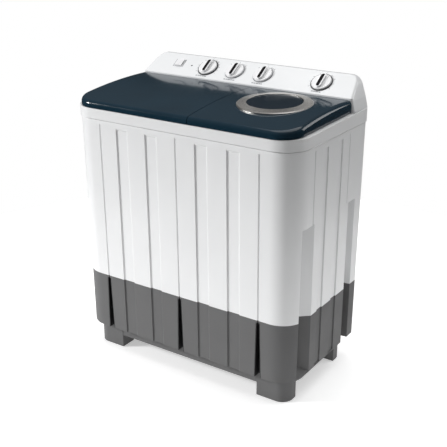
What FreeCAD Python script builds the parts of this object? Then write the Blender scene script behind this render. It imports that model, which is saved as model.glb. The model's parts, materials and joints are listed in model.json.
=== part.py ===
import FreeCAD, Part

import math
import os
import re

import Sketcher
from FreeCAD import Placement, Rotation, Vector

# Twin tub washer: a wash tub with a pulsator on the left and a spin basket on the right,
# in one ribbed plastic casing, under two hinged lids and a sloping control panel.
# Frame: +Z up, front facing -Y, origin on the floor under the middle of the machine.

DIMENSIONS = {
    # casing
    "cabinet_half_width": 390,
    "cabinet_half_depth": 215,
    "base_half_depth": 206,
    "base_bottom": 81,
    "split_height": 269,
    "collar_bottom": 780,
    "casing_wall": 3,
    "front_corner": 75,
    "rear_corner": 12,
    # ribs of the casing
    "front_groove_pitch": 279,
    "groove_half_width": 3,
    "groove_depth": 4,
    "groove_top": 766,
    "recess_top": 762,
    "recess_depth": 3.5,
    "recess_draft": 1.2,
    "inner_recess_middle": 88,
    "outer_recess_middle": 195.5,
    "front_recess_half_width": 21,
    "side_recess_middle": 44.5,
    "side_recess_half_width": 16,
    "side_groove_offset": 106,
    "pocket_top": 554,
    "pocket_depth": 30,
    "pocket_inner_edge": 95,
    "pocket_slope": 28,
    "rear_pocket_inner_edge": 117,
    "rear_pocket_slope": 6,
    "pocket_outer_edge": 161,
    "sill_ramp": 24,
    # slots in the base
    "slot_top": 260,
    "slot_top_half_width": 4.5,
    "slot_foot_half_width": 9,
    "slot_depth": 24,
    "slot_wall": 2.5,
    # feet and plinth
    "foot_inner": 260,
    "foot_outer": 364,
    "foot_near": 124,
    "foot_far": 178.4,
    "rear_foot_near": 124,
    "rear_foot_far": 183,
    "foot_corner": 38,
    "pad_height": 1,
    "rail_bottom": 44,
    # top frame
    "collar_half_width": 393,
    "collar_front": 221,
    "collar_corner": 80,
    "collar_gap": 3,
    "deck_bottom": 803,
    "deck_front_height": 814,
    "deck_rise": 0.02,
    "wash_left": 352,
    "wash_right": 14,
    "tub_corner": 24,
    "tub_front": 186,
    "tub_rear": 98,
    # lids
    "lid_half_width": 380,
    "lid_front": 220,
    "lid_rear": 124,
    "lid_seam": 46,
    "lid_gap": 1.5,
    "lid_corner": 68,
    "lid_bevel": 15,
    "lid_skin": 4,
    "lid_arch": 1830,
    "lid_crest_y": 74.5,
    "lid_crest": 859.9,
    "hinge_y": 113.5,
    "hinge_z": 852.5,
    "pin_radius": 2,
    "lug_radius": 4.5,
    "lug_half_width": 6,
    # ring and disc on the spin lid
    "ring_x": 208,
    "ring_y": -17,
    "ring_z": 852.6,
    "ring_tilt": 2.86,
    "ring_outer": 110,
    "ring_inner": 81.6,
    "ring_height": 10.5,
    # control panel
    "panel_front": 126.5,
    "panel_floor": 823,
    "fascia_start": 862.5,
    "fascia_angle": 34,
    "panel_top": 915,
    "panel_rear": 215,
    "panel_wall": 3,
    "panel_foot_half_width": 389,
    "panel_mid_half_width": 381,
    "panel_mid_height": 855,
    "panel_top_half_width": 361,
    "panel_corner": 34,
    "panel_soft_edge": 8,
    "knob_run": 48,
    "wash_timer_x": -148,
    "wash_selector_x": -46,
    "drain_selector_x": 57,
    "spin_timer_x": 259.5,
    "knob_radius": 31,
    "bezel_inner": 31.6,
    "timer_bezel_outer": 34.6,
    "selector_bezel_outer": 33,
    "knob_shaft_radius": 3,
    "grip_half_width": 7.5,
    "grip_half_length": 26,
    "grip_height": 12,
    "inlet_tab_x": -263,
    "inlet_tab_run": 53,
    # wash side
    "wash_x": -169,
    "well_y": -44,
    "tub_wall": 3,
    "wash_tub_bottom": 345,
    "pulsator_radius": 130,
    "pulsator_bottom": 353,
    "pulsator_shaft_radius": 7,
    "big_pulley_radius": 85,
    "small_pulley_radius": 25,
    "pulley_bottom": 246,
    "pulley_height": 16,
    "wash_motor_x": -300,
    "wash_motor_y": 70,
    "wash_motor_radius": 58,
    "wash_motor_bottom": 160,
    # spin side
    "spin_x": 216,
    "spin_tub_bottom": 402,
    "spin_tub_radius": 146,
    "basket_radius": 122,
    "basket_bottom": 435,
    "basket_top": 745,
    "spin_shaft_radius": 8,
    "brake_wheel_radius": 48,
    "brake_wheel_bottom": 246,
    "brake_wheel_height": 26,
    "spin_motor_radius": 66,
    "spin_motor_bottom": 128,
    "brake_pivot_x": 286,
    "brake_pivot_y": -6,
    # drain and water
    "valve_x": 44,
    "valve_y": 48,
    "outlet_radius": 11,
    "pipe_radius": 12,
    "outlet_y": 141,
    "outlet_z": 122,
    "inlet_radius": 10,
    "inlet_x": -250,
    "inlet_z": 863,
    # back
    "back_cover_half_width": 300,
    "back_cover_bottom": 160,
    "back_cover_top": 570,
    "back_face": 222,
}

doc = FreeCAD.newDocument("twin_tub_washer")
sheet = doc.addObject("Spreadsheet::Sheet", "Dims")
for row, (alias, value) in enumerate(DIMENSIONS.items(), start=1):
    sheet.set("A%d" % row, alias)
    sheet.set("B%d" % row, str(value))
    sheet.setAlias("B%d" % row, alias)
doc.recompute()

nodes = []


# ---------------------------------------------------------------- helpers

def dim(alias):
    """A driving dimension, read back from the spreadsheet."""
    return float(sheet.get(alias))


def formula(text):
    """Turn 'casing_wall + 2' into an expression on the spreadsheet."""
    return re.sub(r"[A-Za-z_]\w*",
                  lambda word: "Dims." + word.group(0) if word.group(0) in DIMENSIONS else word.group(0),
                  str(text))


def bind(thing, **sizes):
    for prop, text in sizes.items():
        thing.setExpression(prop, formula(text))
    return thing


def put(thing, at=(0, 0, 0), turn=None):
    """Place a thing at bound coordinates, turned by a fixed rotation."""
    thing.Placement = Placement(Vector(), turn or Rotation())
    for axis, text in zip("xyz", at):
        thing.setExpression(".Placement.Base." + axis, formula(text))
    return thing


def about(axis, degrees):
    return Rotation(Vector(*axis), degrees)


def box(x, y, z, name="block"):
    """A box between bound limits, each given as (low, high)."""
    thing = doc.addObject("Part::Box", name)
    bind(thing,
         Length="(%s) - (%s)" % (x[1], x[0]),
         Width="(%s) - (%s)" % (y[1], y[0]),
         Height="(%s) - (%s)" % (z[1], z[0]))
    return put(thing, (x[0], y[0], z[0]))


def cylinder(radius, length, at, turn=None, name="rod"):
    thing = doc.addObject("Part::Cylinder", name)
    bind(thing, Radius=radius, Height=length)
    return put(thing, at, turn)


def wedge(low, high, at=(0, 0, 0), turn=None, name="wedge"):
    """A prism along its own Y from one (x, z) rectangle to another.

    low and high are (y, x_min, x_max, z_min, z_max).
    """
    thing = doc.addObject("Part::Wedge", name)
    bind(thing, Ymin=low[0], Xmin=low[1], Xmax=low[2], Zmin=low[3], Zmax=low[4])
    bind(thing, Ymax=high[0], X2min=high[1], X2max=high[2], Z2min=high[3], Z2max=high[4])
    return put(thing, at, turn)


def fuse(*shapes, name="joined"):
    thing = doc.addObject("Part::MultiFuse", name)
    thing.Shapes = list(shapes)
    return thing


def cut(base, *tools, name="cut"):
    thing = doc.addObject("Part::Cut", name)
    thing.Base = base
    thing.Tool = tools[0] if len(tools) == 1 else fuse(*tools)
    return thing


def common(first, second, name="shared"):
    thing = doc.addObject("Part::Common", name)
    thing.Base = first
    thing.Tool = second
    return thing


def eased(base, kind, choose, name="eased"):
    """Fillet or chamfer the edges for which choose(edge) gives a size."""
    doc.recompute()
    sizes = [(number, choose(edge)) for number, edge in enumerate(base.Shape.Edges, start=1)]
    thing = doc.addObject("Part::" + kind, name)
    thing.Base = base
    thing.Edges = [(number, size, size) for number, size in sizes if size]
    return thing


def origin_plane(body, role):
    return [item for item in body.Origin.OriginFeatures if item.Role == role][0]


def outline(body, role, points):
    """A closed sketch of straight sides, each corner bound to the spreadsheet."""
    sketch = body.newObject("Sketcher::SketchObject", body.Name + "_outline")
    sketch.AttachmentSupport = [(origin_plane(body, role), "")]
    sketch.MapMode = "FlatFace"
    rough = [(index + 1.0, (index * index) % 7 + 1.0) for index in range(len(points))]
    for index, start in enumerate(rough):
        end = rough[(index + 1) % len(rough)]
        sketch.addGeometry(Part.LineSegment(Vector(*start, 0), Vector(*end, 0)), False)
    for index in range(len(points)):
        sketch.addConstraint(Sketcher.Constraint("Coincident", index, 2, (index + 1) % len(points), 1))
    for index, point in enumerate(points):
        for kind, text, here in zip(("DistanceX", "DistanceY"), point, rough[index]):
            number = sketch.addConstraint(Sketcher.Constraint(kind, -1, 1, index, 1, here))
            sketch.setExpression("Constraints[%d]" % number, formula(text))
    return sketch


def padded(points, length, role="XY_Plane", at=(0, 0, 0), turn=None, both_ways=False, name="padded"):
    body = doc.addObject("PartDesign::Body", name)
    sketch = outline(body, role, points)
    pad = body.newObject("PartDesign::Pad", name + "_pad")
    pad.Profile = sketch
    pad.Midplane = both_ways
    bind(pad, Length=length)
    return put(body, at, turn)


def revolved(points, at=(0, 0, 0), turn=None, name="revolved"):
    """A body of revolution about its own Z; points are (radius, height)."""
    body = doc.addObject("PartDesign::Body", name)
    sketch = outline(body, "XZ_Plane", points)
    spun = body.newObject("PartDesign::Revolution", name + "_revolution")
    spun.Profile = sketch
    spun.ReferenceAxis = (sketch, ["V_Axis"])
    spun.Angle = 360
    return put(body, at, turn)


def node(label, thing):
    thing.Label = label
    nodes.append(thing)
    return thing


def upright(edge):
    """True for a straight edge that runs mostly along Z."""
    box_of_edge = edge.BoundBox
    return box_of_edge.ZLength > 3 * (box_of_edge.XLength + box_of_edge.YLength)


# ---------------------------------------------------------------- casing

LEAN = math.degrees(math.atan((dim("cabinet_half_depth") - dim("base_half_depth"))
                              / (dim("collar_bottom") - dim("base_bottom"))))
OUTWARD = {
    "front": about((1, 0, 0), LEAN) * about((0, 0, 1), 180),
    "right": about((0, 0, 1), -90),
    "left": about((0, 0, 1), 90),
}


def casing_block(inset, name):
    """The casing's outer form, or its hollow when inset by the wall."""
    wide = "cabinet_half_width - %s" % inset
    foot = "base_half_depth - %s" % inset
    head = "cabinet_half_depth - %s" % inset
    block = wedge(("base_bottom", "-(%s)" % wide, wide, "-(%s)" % foot, foot),
                  ("collar_bottom", "-(%s)" % wide, wide, "-(%s)" % head, head),
                  turn=about((1, 0, 0), 90), name=name)
    front = dim("front_corner") - inset
    rear = dim("rear_corner") - inset

    def corner(edge):
        if not upright(edge):
            return 0
        return front if edge.CenterOfMass.y < 0 else rear

    return eased(block, "Fillet", corner, name + "_rounded")


def rib(face, middle, half_width, draft, depth, bottom, top, grow, name):
    """A drafted channel cutter on one face; grow widens it for the inner skin."""
    deep = ("-(%s + %s)" % (depth, grow),
            "-(%s + %s)" % (half_width, grow), "%s + %s" % (half_width, grow),
            bottom, "%s + %s" % (top, grow))
    shallow = ("2",
               "-(%s + %s + %s)" % (half_width, draft, grow), "%s + %s + %s" % (half_width, draft, grow),
               bottom, "%s + %s + %s" % (top, draft, grow))
    corner = {"front": (middle, "-base_half_depth", "base_bottom"),
              "right": ("cabinet_half_width", middle, "base_bottom"),
              "left": ("-cabinet_half_width", middle, "base_bottom")}
    return wedge(deep, shallow, corner[face], OUTWARD[face], name)


def pocket(face, end, grow, name):
    """A deep channel beside a corner, steep towards the corner, its other wall sloping by its own amount."""
    start = "pocket_inner_edge" if end == "front" else "rear_pocket_inner_edge"
    slope = "pocket_slope" if end == "front" else "rear_pocket_slope"
    inner = "%s - %s" % (start, grow)
    inner_deep = "%s + %s - %s" % (start, slope, grow)
    outer = "pocket_outer_edge + %s" % grow
    outer_deep = "pocket_outer_edge - 4 + %s" % grow
    top = "pocket_top - base_bottom + %s" % grow
    mirror = (face == "right") == (end == "rear")
    ranges = []
    for low, high in ((inner_deep, outer_deep), (inner, outer)):
        ranges.append(("-(%s)" % high, "-(%s)" % low) if mirror else (low, high))
    deep = ("-(pocket_depth + %s)" % grow, ranges[0][0], ranges[0][1], "-2", top)
    shallow = ("1", ranges[1][0], ranges[1][1], "-2", top)
    edge = "cabinet_half_width" if face == "right" else "-cabinet_half_width"
    return wedge(deep, shallow, (edge, 0, "base_bottom"), OUTWARD[face], name)


def casing_channels(grow):
    """Every groove, recess and pocket of the casing, as cutters."""
    tools = []
    recess_top = "recess_top - base_bottom"
    groove_top = "groove_top - base_bottom"
    for side in (-1, 0, 1):
        tools.append(rib("front", "%d * front_groove_pitch" % side, 0.4, "groove_half_width",
                         "groove_depth", -2, groove_top, grow, "front_groove"))
    for side in (-1, 1):
        for middle in ("inner_recess_middle", "outer_recess_middle"):
            tools.append(rib("front", "%d * %s" % (side, middle), "front_recess_half_width",
                             "recess_draft", "recess_depth", -2, recess_top, grow, "front_recess"))
    for face in ("left", "right"):
        for side in (-1, 1):
            tools.append(rib(face, "%d * side_recess_middle" % side, "side_recess_half_width",
                             "recess_draft", "recess_depth", -2, recess_top, grow, "side_recess"))
            tools.append(rib(face, "%d * side_groove_offset" % side, 0.4, "groove_half_width",
                             "groove_depth", "pocket_top - base_bottom", groove_top, grow, "side_groove"))
        for end in ("front", "rear"):
            tools.append(pocket(face, end, grow, "pocket"))
    return tools


def slot_block(side, grow, name):
    """A tapering slot in the base's front, wider at its foot."""
    middle = "%d * front_groove_pitch" % side
    foot = "slot_foot_half_width + %s" % grow
    head = "slot_top_half_width + %s" % grow
    return wedge((-3, "-(%s)" % foot, foot, "-(slot_depth + %s)" % grow, 4),
                 ("slot_top - base_bottom + %s" % grow, "-(%s)" % head, head,
                  "-(slot_depth + %s)" % grow, 4),
                 (middle, "-base_half_depth", "base_bottom"),
                 about((1, 0, 0), 90 + LEAN), name)


def build_casing():
    outer = cut(casing_block(0, "casing_outer"), *casing_channels(0), name="casing_ribbed")
    hollow = cut(casing_block(dim("casing_wall"), "casing_hollow"),
                 *casing_channels(dim("casing_wall")), name="hollow_ribbed")
    skin = cut(outer, hollow, name="casing_skin")
    everywhere = ("-500", "500")

    white = box(everywhere, everywhere, ("split_height", "collar_bottom"))
    opening = box(("-back_cover_half_width + 14", "back_cover_half_width - 14"), ("150", "300"),
                  ("split_height - 20", "back_cover_top - 14"))
    node("cabinet_shell", cut(common(skin, white), opening))

    grey = box(everywhere, everywhere, ("base_bottom", "split_height"))
    opening = box(("-back_cover_half_width + 14", "back_cover_half_width - 14"), ("150", "300"),
                  ("back_cover_bottom + 14", "split_height + 20"))
    slots = [slot_block(side, dim("slot_wall"), "slot_clearance") for side in (-1, 0, 1)]
    outlet_hole = cylinder("outlet_radius + 0.5", 60, ("-cabinet_half_width - 5", "outlet_y", "outlet_z"),
                           about((0, 1, 0), 90))
    gland_hole = cylinder(7.2, 60, (335, 180, 175), about((1, 0, 0), -90))
    footed = fuse(common(skin, grey), common(casing_block(0, "sill_limit"), fuse(*side_sills())))
    node("base_shell", cut(footed, opening, outlet_hole, gland_hole, *slots))

    liners = [cut(common(slot_block(side, dim("slot_wall"), "slot_liner"), outer),
                  slot_block(side, 0, "slot_void")) for side in (-1, 0, 1)]
    trimmed = common(fuse(*liners), box(everywhere, everywhere, ("base_bottom", "split_height")))
    node("base_slot_liners", trimmed)


def side_sills():
    """The turned-in foot of the base along both sides, ramped up in each front pocket."""
    ramp = [("cabinet_half_width - pocket_depth - 2", "base_bottom"), ("cabinet_half_width", "base_bottom"),
            ("cabinet_half_width", "base_bottom + 3"),
            ("cabinet_half_width - pocket_depth - 2", "base_bottom + sill_ramp")]
    width = "pocket_outer_edge - pocket_inner_edge + 3"
    middle = (dim("pocket_outer_edge") + dim("pocket_inner_edge")) / 2
    pieces = []
    for side in (-1, 1):
        x = span(side, "(cabinet_half_width - pocket_depth - 6)", "cabinet_half_width")
        pieces.append(box(x, ("-pocket_outer_edge - 1", "rear_pocket_inner_edge"),
                          ("base_bottom", "base_bottom + 3"), "sill"))
        points = [("%d * (%s)" % (side, across), up) for across, up in ramp]
        pieces.append(padded(points, width, "XZ_Plane", (0, -middle, 0), both_ways=True,
                             name="sill_ramp_form"))
    return pieces


def build_base_floor():
    wide = "cabinet_half_width - casing_wall - pocket_depth - casing_wall - 1"
    plate = box(("-(%s)" % wide, wide), ("-base_half_depth + slot_depth + 8", "base_half_depth - 10"),
                ("base_bottom", "base_bottom + 6"))
    openings = [box((low, high), ("-120", "130"), ("base_bottom - 1", "base_bottom + 7"))
                for low, high in (("-180", "-40"), ("20", "100"))]
    node("base_floor", cut(plate, *openings))
    rail = box(("-foot_inner + 0.5", "foot_inner - 0.5"),
               ("-foot_far + 1", "-foot_far + 9"), ("rail_bottom", "base_bottom"))
    node("front_plinth_rail", rail)


def span(side, inner, outer):
    """The (low, high) pair of two mirrored distances."""
    pair = ("%d * %s" % (side, inner), "%d * %s" % (side, outer))
    return pair if side > 0 else pair[::-1]


def build_feet():
    pads = []
    for name, side, end in (("front_left", -1, -1), ("front_right", 1, -1),
                            ("rear_left", -1, 1), ("rear_right", 1, 1)):
        near = "foot_near" if end < 0 else "rear_foot_near"
        far = "foot_far" if end < 0 else "rear_foot_far"
        x = span(side, "foot_inner", "foot_outer")
        y = span(end, near, far)
        block = box(x, y, ("pad_height", "base_bottom"), "foot_block")
        outermost = Vector(side * dim("foot_outer"), end * dim(far), 0)

        def corner(edge, place=outermost):
            middle = edge.CenterOfMass
            beside = abs(middle.x - place.x) < 1 and abs(middle.y - place.y) < 1
            return dim("foot_corner") if upright(edge) and beside else 0

        shaped = eased(block, "Fillet", corner, "foot_rounded")
        core = box((x[0] + " + 4", x[1] + " - 4"), (y[0] + " + 4", y[1] + " - 4"),
                   ("pad_height + 6", "base_bottom + 1"), "foot_core")
        inner = Vector(side * (dim("foot_outer") - 4), end * (dim(far) - 4), 0)

        def inner_corner(edge, place=inner):
            middle = edge.CenterOfMass
            beside = abs(middle.x - place.x) < 1 and abs(middle.y - place.y) < 1
            return dim("foot_corner") - 4 if upright(edge) and beside else 0

        node("foot_" + name, cut(shaped, eased(core, "Fillet", inner_corner, "foot_hollow")))
        pads.append(cylinder(18, "pad_height",
                             ("%d * (foot_inner + foot_outer) / 2" % side,
                              "%d * (%s + %s) / 2" % (end, near, far), 0)))
    node("foot_pads", fuse(*pads))


# ---------------------------------------------------------------- top frame and lids

WIDE = ("-600", "600")
DECK_TILT = math.degrees(math.atan(dim("deck_rise")))


def above(y, z, tilt, name="space_above"):
    """Everything above a plane through (y, z) that rises to the rear by tilt."""
    turn = about((1, 0, 0), tilt)
    back = turn.multVec(Vector(0, -400, 0))
    thing = doc.addObject("Part::Box", name)
    bind(thing, Length=1200, Width=900, Height=200)
    return put(thing, (-600, "%s + %s" % (y, back.y), "%s + %s" % (z, back.z)), turn)


def rounded_box(x, y, z, radius_at, name):
    """A box whose upright edges take the radius that radius_at(x, y) gives."""
    block = box(x, y, z, name)
    return eased(block, "Fillet",
                 lambda edge: radius_at(edge.CenterOfMass.x, edge.CenterOfMass.y) if upright(edge) else 0,
                 name + "_rounded")


def lug(x, name="hinge_lug"):
    """A post on the deck, round about the hinge axis at its top."""
    half = "lug_half_width"
    post = box(("%s - %s" % (x, half), "%s + %s" % (x, half)),
               ("hinge_y - lug_radius", "hinge_y + lug_radius"), ("deck_bottom + 4", "hinge_z"))
    crown = cylinder("lug_radius", "2 * lug_half_width", ("%s - %s" % (x, half), "hinge_y", "hinge_z"),
                     about((0, 1, 0), 90))
    return fuse(post, crown, name=name)


LUG_PLACES = {
    "wash": ("-lid_half_width + 42", "lid_seam - 42"),
    "spin": ("lid_seam + 42", "lid_half_width - 42"),
}


def build_top_frame():
    def outer_corner(x, y):
        return dim("collar_corner") if y < 0 else dim("rear_corner")

    def inner_corner(x, y):
        return dim("collar_corner") - 4 if y < 0 else dim("rear_corner") - 4

    rim = rounded_box(("-collar_half_width", "collar_half_width"), ("-collar_front", "panel_rear"),
                      ("collar_bottom + collar_gap", "deck_front_height + 14"), outer_corner, "collar")
    # the flange reaches down inside the casing's walls
    flange = rounded_box(("-collar_half_width + 6.5", "collar_half_width - 6.5"),
                         ("-collar_front + 9.5", "panel_rear - 3.5"),
                         ("collar_bottom - 8", "deck_bottom"), outer_corner, "collar_flange")
    under = rounded_box(("-collar_half_width + 9.5", "collar_half_width - 9.5"),
                        ("-collar_front + 12.5", "panel_rear - 6.5"),
                        ("collar_bottom - 9", "deck_bottom"), inner_corner, "collar_hollow")
    sloped = cut(fuse(rim, flange), above("-collar_front", "deck_front_height", DECK_TILT))

    def tub_corner(x, y):
        return dim("tub_corner")

    wash_mouth = rounded_box(("-wash_left", "wash_right"), ("-tub_front", "tub_rear"),
                             ("deck_bottom - 1", "deck_front_height + 20"), tub_corner, "wash_mouth")
    spin_mouth = cylinder("spin_tub_radius - 6", 40, ("spin_x", "well_y", "deck_bottom - 1"))
    frame = cut(sloped, under, wash_mouth, spin_mouth)
    lugs = [lug(place) for pair in LUG_PLACES.values() for place in pair]
    bores = [cylinder("pin_radius", 900, ("-450", "hinge_y", "hinge_z"), about((0, 1, 0), 90))]
    rounded = fuse(frame, *lugs, name="deck_with_lugs")
    node("top_frame", cut(rounded, *bores))
    pins = [cylinder("pin_radius", "2 * lug_half_width + 20",
                     ("%s - lug_half_width - 10" % place, "hinge_y", "hinge_z"), about((0, 1, 0), 90))
            for pair in LUG_PLACES.values() for place in pair]
    node("lid_hinge_pins", fuse(*pins))


def lid_height(y):
    """The height of the lids' arched top at a depth y."""
    run = y - dim("lid_crest_y")
    return dim("lid_crest") - dim("lid_arch") + math.sqrt(dim("lid_arch") ** 2 - run ** 2)


def lid_block(x, inset, outer_side, name):
    """One lid's form: an arched top, rounded_top along the front and the outer side."""
    near = "-lid_front + %s" % inset
    far = "lid_rear - %s" % inset

    def corner(px, py):
        if py > 0:
            return 0
        return dim("lid_corner") - inset if px * outer_side > dim("lid_half_width") - inset - 1 else 0

    block = rounded_box(x, (near, far), ("deck_front_height - 10", "lid_crest + 20"), corner, name)
    skin = dim("lid_skin") if inset else 0
    arch = cylinder("lid_arch - %s" % skin, 1200, ("-600", "lid_crest_y", "lid_crest - lid_arch"),
                    about((0, 1, 0), 90), name + "_arch")
    topped = common(block, arch)
    doc.recompute()
    seam_x = dim("lid_seam")
    rear_y = dim("lid_rear") - inset

    def round_over(edge):
        middle = edge.CenterOfMass
        on_top = all(abs(end.Z - lid_height(end.Y) + skin) < 0.5 for end in edge.Vertexes)
        at_rear = abs(middle.y - rear_y) < 0.5
        at_seam = abs(middle.x - seam_x) < 12 and edge.BoundBox.XLength < 1
        if not on_top or at_seam:
            return 0
        return 0 if at_rear else dim("lid_bevel") - 0.4 * inset

    rounded_top = eased(topped, "Fillet", round_over, name + "_rounded_top")
    doc.recompute()

    def sharp_rear(edge):
        middle = edge.CenterOfMass
        high = middle.z > dim("hinge_z") + 1 - skin
        flat = edge.BoundBox.XLength > 100 and edge.BoundBox.YLength < 1
        return 1.5 if high and flat and abs(middle.y - rear_y) < 0.5 else 0

    return eased(rounded_top, "Chamfer", sharp_rear, name + "_eased_rear")


def build_lid(label, x, outer_side, places, *seats):
    """A hollow lid with hinge cheeks; seats are solids the lid fills out within its form."""
    outer = lid_block(x, 0, outer_side, label + "_form")
    inner_x = ("%s + 6" % x[0], "%s - 6" % x[1])
    hollow = lid_block(inner_x, 6, outer_side, label + "_hollow")
    shell = cut(outer, hollow)
    foot = "deck_front_height + lid_gap"
    below = above("-lid_front", foot + " - 200 / cos(%s)" % DECK_TILT, DECK_TILT, "space_below")
    cheeks = []
    gaps = []
    for place in places:
        for offset in (-1, 1):
            middle = "%s + %d * (lug_half_width + 4)" % (place, offset)
            cheeks.append(box(("%s - 3" % middle, "%s + 3" % middle),
                              ("hinge_y - 9", "lid_rear - 3"), ("hinge_z - 9", "hinge_z + 4")))
        gaps.append(box(("%s - lug_half_width - 0.8" % place, "%s + lug_half_width + 0.8" % place),
                        ("hinge_y - lug_radius - 2.5", "lid_rear + 1"),
                        ("deck_front_height - 12", "hinge_z + lug_radius + 1.2")))
        gaps.append(cylinder("lug_radius + 0.5", "2 * lug_half_width + 1.6",
                             ("%s - lug_half_width - 0.8" % place, "hinge_y", "hinge_z"),
                             about((0, 1, 0), 90)))
        gaps.append(cylinder("pin_radius + 0.05", "2 * lug_half_width + 21",
                             ("%s - lug_half_width - 10.5" % place, "hinge_y", "hinge_z"),
                             about((0, 1, 0), 90)))
    # the rear wall stops short of the deck so that its foot swings clear
    gaps.append(box(WIDE, ("hinge_y - 3.5", "lid_rear + 1"),
                    ("deck_front_height - 12", "deck_front_height + 10.4")))
    filled = [common(outer, seat) for seat in seats]
    return cut(fuse(shell, *cheeks, *filled), below, *gaps)


def build_lids():
    wash = build_lid("wash_lid", ("-lid_half_width", "lid_seam - 1"), -1, LUG_PLACES["wash"])
    node("wash_lid", wash)
    centre = ("ring_x", "ring_y", "ring_z")
    tilt = about((1, 0, 0), dim("ring_tilt"))
    seat = cylinder("ring_outer + 8", 40, ("ring_x", "ring_y", "ring_z - 4"), tilt, "ring_seat")
    recess = cylinder("ring_outer + 0.4", 40, centre, tilt, "ring_recess")
    spin = build_lid("spin_lid", ("lid_seam + 1", "lid_half_width"), 1, LUG_PLACES["spin"], seat)
    node("spin_lid", cut(spin, recess))
    node("spin_lid_ring", revolved([("ring_inner", 0), ("ring_outer", 0), ("ring_outer", 5),
                                    ("ring_outer - 2", 7), ("ring_outer - 5", 7.6),
                                    ("ring_inner + 1", "ring_height"), ("ring_inner", "ring_height - 0.6")],
                                   centre, tilt, "ring_profile"))
    node("spin_lid_disc", revolved([(0, 0), ("ring_inner - 0.2", 0), ("ring_inner - 0.2", "ring_height - 1.6"),
                                    ("ring_inner - 12", "ring_height - 1"), (0, "ring_height + 0.5")],
                                   centre, tilt, "disc_profile"))


# ---------------------------------------------------------------- control panel

FASCIA_TILT = dim("fascia_angle")
FACING = about((1, 0, 0), FASCIA_TILT)


def on_fascia(x, run, lift=0):
    """A point on the fascia, run up its slope and lift off its surface."""
    tilt = math.radians(FASCIA_TILT)
    return (x,
            "panel_front + (%s) * %s - (%s) * %s" % (run, math.cos(tilt), lift, math.sin(tilt)),
            "fascia_start + (%s) * %s + (%s) * %s" % (run, math.sin(tilt), lift, math.cos(tilt)))


def panel_profile(inset, rear, floor, name):
    """The panel's side profile run across the machine, inset by the wall."""
    slope = math.tan(math.radians(FASCIA_TILT))
    # the inset keeps the fascia's wall even, measured square to its slope
    drop = "%s / cos(fascia_angle)" % inset
    start = "fascia_start - %s + %s * %s" % (drop, inset, slope)
    top = "panel_top - %s" % inset
    ridge = "panel_front + %s + (%s - (%s)) / %s" % (inset, top, start, slope)
    points = [("panel_front + %s" % inset, floor), ("panel_front + %s" % inset, start),
              (ridge, top), (rear, top), (rear, floor)]
    return padded(points, "2 * collar_half_width", "YZ_Plane", both_ways=True, name=name)


def panel_face(inset, floor, name):
    """The panel seen from the front: leaning ends and rounded top corners."""
    foot = "panel_foot_half_width - %s" % inset
    mid = "panel_mid_half_width - %s" % inset
    top = "panel_top_half_width - %s" % inset
    high = "panel_top - %s" % inset
    points = [("-(%s)" % foot, floor), (foot, floor), (mid, "panel_mid_height"), (top, high),
              ("-(%s)" % top, high), ("-(%s)" % mid, "panel_mid_height")]
    face = padded(points, 800, "XZ_Plane", both_ways=True, name=name)
    radius = dim("panel_corner") - inset
    doc.recompute()

    def corner(edge):
        middle = edge.CenterOfMass
        return radius if middle.z > dim("panel_top") - inset - 0.5 and edge.BoundBox.YLength > 700 else 0

    return eased(face, "Fillet", corner, name + "_rounded")


KNOBS = {
    "wash_timer": ("wash_timer_x", "timer_bezel_outer"),
    "wash_selector": ("wash_selector_x", "selector_bezel_outer"),
    "drain_selector": ("drain_selector_x", "selector_bezel_outer"),
    "spin_timer": ("spin_timer_x", "timer_bezel_outer"),
}


def soft_ended(form):
    """The panel's form with its fascia rounded into both ends and over the ridge."""
    def corner(edge):
        behind = any(abs(point.Y - dim("panel_rear")) < 0.5 for point in edge.Vertexes)
        long_and_low = edge.BoundBox.XLength > 40 and edge.CenterOfMass.z < dim("fascia_start") + 1
        return 0 if behind or long_and_low else dim("panel_soft_edge")

    return eased(form, "Fillet", corner, "soft_ended")


def build_panel():
    outer = common(panel_profile(0, "panel_rear", "panel_floor", "panel_form"),
                   panel_face(0, "panel_floor", "panel_front_form"))
    wall = dim("panel_wall")
    hollow = common(panel_profile(wall, "panel_rear + 5", "panel_floor - 5", "panel_hollow"),
                    panel_face(wall, "panel_floor - 5", "panel_front_hollow"))
    holes = [cylinder("knob_shaft_radius + 1.5", 12, on_fascia(x, "knob_run", -8), FACING)
             for x, bezel in KNOBS.values()]
    slot = put(doc.addObject("Part::Box", "tab_slot"),
               on_fascia("inlet_tab_x - 14", "inlet_tab_run - 4", -6), FACING)
    bind(slot, Length=28, Width=8, Height=10)
    node("panel_housing", cut(cut(soft_ended(outer), hollow), *holes, slot))

    cover_form = common(panel_profile(wall + 0.3, "panel_rear", "panel_floor + 1", "cover_form"),
                        panel_face(wall + 0.3, "panel_floor - 5", "cover_front_form"))
    slab = box(WIDE, ("panel_rear - 14", "panel_rear - 11"), ("500", "1000"))
    port = cylinder("inlet_radius + 0.2", 40, ("inlet_x", "panel_rear - 30", "inlet_z"),
                    about((1, 0, 0), -90))
    node("panel_rear_cover", cut(common(cover_form, slab), port))

    flange = revolved([("inlet_radius - 3", -20), ("inlet_radius", -20), ("inlet_radius", 0),
                       ("inlet_radius + 10", 0), ("inlet_radius + 10", 3), ("inlet_radius", 3),
                       ("inlet_radius", "back_face - panel_rear + 11"),
                       ("inlet_radius - 3", "back_face - panel_rear + 11")],
                      ("inlet_x", "panel_rear - 11", "inlet_z"), about((1, 0, 0), -90), "inlet_profile")
    node("water_inlet_port", flange)

    bezels = [revolved([("bezel_inner", 0), (bezel, 0), ("%s - 0.6" % bezel, 2.2), ("bezel_inner", 2.2)],
                       on_fascia(x, "knob_run"), FACING, "bezel") for x, bezel in KNOBS.values()]
    node("knob_bezels", fuse(*bezels))
    for name, (x, bezel) in KNOBS.items():
        build_knob(name, x)
    build_controls()


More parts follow.
